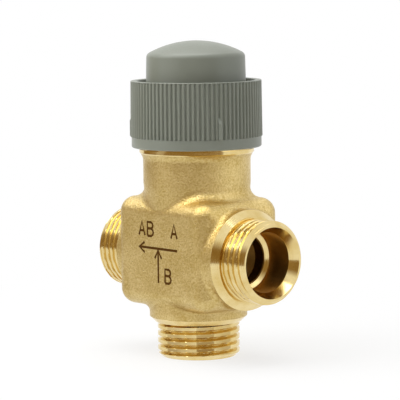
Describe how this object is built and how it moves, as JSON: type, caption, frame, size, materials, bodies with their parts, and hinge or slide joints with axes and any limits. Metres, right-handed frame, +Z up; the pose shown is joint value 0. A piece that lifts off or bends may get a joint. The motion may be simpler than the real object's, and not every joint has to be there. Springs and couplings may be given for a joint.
{
  "type": "three-way mixing valve",
  "caption": "Three-way mixing valve with a forged brass body, threaded ports on both sides and below, a sprung stem and plug, and a knurled screw cap that sets the lift.",
  "frame": {"origin": "middle of the bottom port's end face, on the stem axis", "axes": "+Z up the stem, +X out of port A, -X out of port AB, port B points down"},
  "size_m": [0.0564, 0.0337, 0.0803],
  "materials": {
    "forged_brass": "forged, ports turned bright",
    "turned_brass": "turned",
    "stainless_steel": "drawn",
    "seal_rubber": "moulded",
    "seal_plastic": "turned",
    "grey_plastic": "moulded, fine grain"
  },
  "bodies": {
    "valve": {"valve_body": "forged_brass", "upper_seat_ring": "turned_brass", "seat_o_ring": "seal_rubber", "bonnet": "turned_brass", "bonnet_o_ring": "seal_rubber", "lower_stem_o_ring": "seal_rubber", "stem_backing_washer": "seal_plastic", "upper_stem_o_ring": "seal_rubber", "gland_nut": "turned_brass", "spring_seat_washer": "stainless_steel", "return_spring": "stainless_steel"},
    "stem": {"stem": "stainless_steel", "upper_sealing_disc": "seal_rubber", "plug_carrier": "turned_brass", "lower_sealing_disc": "seal_rubber", "plug_washer": "stainless_steel", "plug_nut": "stainless_steel", "spring_retainer": "turned_brass", "retaining_clip": "stainless_steel"},
    "cap": {"manual_cap": "grey_plastic"}
  },
  "joints": [
    {"name": "stem_lift", "type": "slide", "parent": "valve", "child": "stem", "axis": [0, 0, 1], "range_m": [0, 0.0025], "deforming": ["return_spring"]},
    {"name": "cap_turn", "type": "hinge", "parent": "stem", "child": "cap", "pos_m": [0, 0, 0.06], "axis": [0, 0, 1], "range_deg": [0, 600]}
  ],
  "couplings": [
    {"joint": "stem_lift", "follows": "cap_turn", "m_per_rad": 0.00023873}
  ]
}
